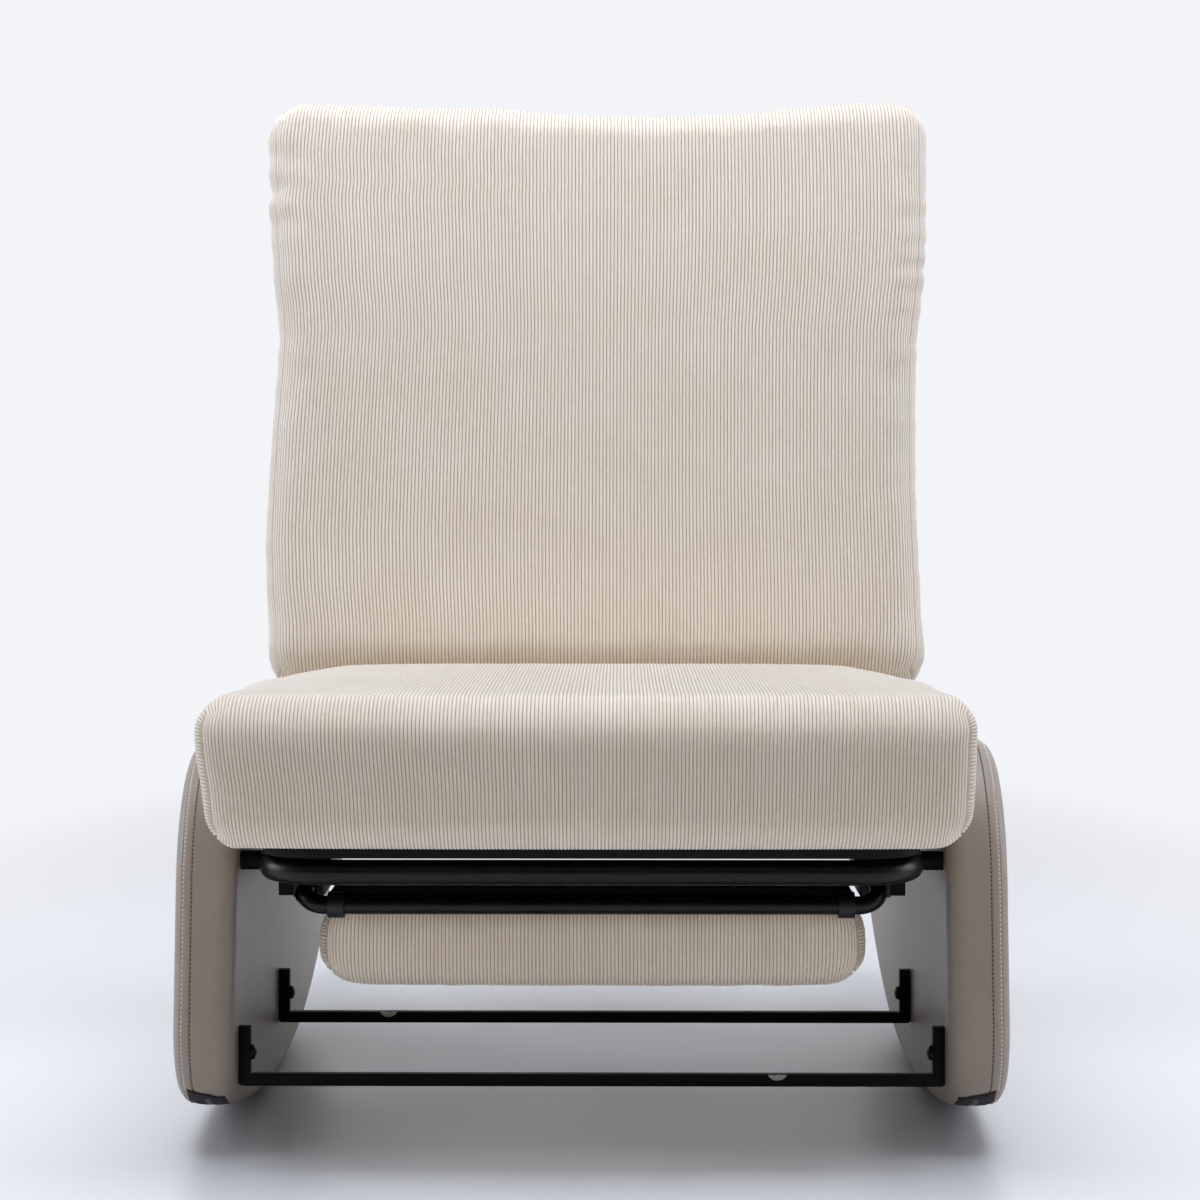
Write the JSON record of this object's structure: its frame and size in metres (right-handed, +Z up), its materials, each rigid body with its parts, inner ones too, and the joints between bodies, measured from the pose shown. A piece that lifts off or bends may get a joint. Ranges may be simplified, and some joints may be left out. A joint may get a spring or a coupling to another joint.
{
  "type": "reclining lounge chair",
  "caption": "Reclining lounge chair with corduroy cushions, rocker-shaped leather side panels, a bent tube frame, a back on friction hinges and a pull-out flip-over footrest.",
  "frame": {"origin": "centre of the chair's footprint, on the floor", "axes": "+X to the chair's left as seen from the front, +Y to the rear, +Z up"},
  "size_m": [0.728, 1.0039, 0.9944],
  "materials": {
    "corduroy": "ribbed cotton corduroy, cream",
    "panel_leather": "smooth leather, warm grey",
    "panel_wadding": "foam and wadding",
    "panel_plywood": "raw plywood",
    "zip_tape": "black woven tape with a coil zip",
    "black_tube": "black semi gloss powder coat",
    "stretcher_steel": "black satin powder coat",
    "bolt_steel": "black oxide",
    "hinge_steel": "black powder coat",
    "pivot_steel": "zinc plated",
    "board_black": "black stained plywood",
    "rest_rubber": "pale rubber",
    "sling_cloth": "black woven webbing cloth",
    "lining_cloth": "black thin lining",
    "nylon": "black nylon",
    "pale_nylon": "natural nylon",
    "stop_plastic": "black moulded plastic",
    "clear_plastic": "clear soft vinyl"
  },
  "bodies": {
    "base": {"front_stretcher": "stretcher_steel", "guide_blocks": "nylon", "guide_hangers": "hinge_steel", "hinge_cap_nuts": "pivot_steel", "hinge_pivots": "pivot_steel", "hinge_seat_plates": "hinge_steel", "left_panel_board": "panel_plywood", "left_panel_cover": "panel_leather", "left_panel_foam": "panel_wadding", "left_zip_strip": "zip_tape", "rail_end_plugs": "stop_plastic", "rear_stretcher": "stretcher_steel", "right_panel_board": "panel_plywood", "right_panel_cover": "panel_leather", "right_panel_foam": "panel_wadding", "right_zip_strip": "zip_tape", "seat_board": "board_black", "seat_cushion": "corduroy", "seat_frame": "black_tube", "seat_frame_bolts": "bolt_steel", "seat_frame_spacers": "stretcher_steel", "seat_rest_pads": "rest_rubber", "stretcher_bolts": "bolt_steel", "stretcher_buffers": "clear_plastic", "threaded_inserts": "bolt_steel"},
    "back": {"back_frame": "black_tube", "hinge_back_arms": "hinge_steel", "back_sling": "sling_cloth", "back_cushion": "corduroy"},
    "footrest_slide": {"footrest_frame": "black_tube", "footrest_stops": "stop_plastic"},
    "footrest_pad": {"footrest_board": "board_black", "footrest_lining": "lining_cloth", "footrest_hinge_blocks": "pale_nylon", "footrest_cushion": "corduroy"}
  },
  "joints": [
    {"name": "back_recline", "type": "hinge", "parent": "base", "child": "back", "pos_m": [0, 0.121, 0.25], "axis": [-1, 0, 0], "range_deg": [0, 40]},
    {"name": "footrest_pull", "type": "slide", "parent": "base", "child": "footrest_slide", "axis": [0, -1, 0], "range_m": [0, 0.3]},
    {"name": "footrest_flip", "type": "hinge", "parent": "footrest_slide", "child": "footrest_pad", "pos_m": [0, -0.403, 0.216], "axis": [-1, 0, 0], "range_deg": [0, 180]}
  ],
  "couplings": [
    {"joint": "footrest_flip", "follows": "footrest_pull", "rad_per_m": 10.472}
  ]
}
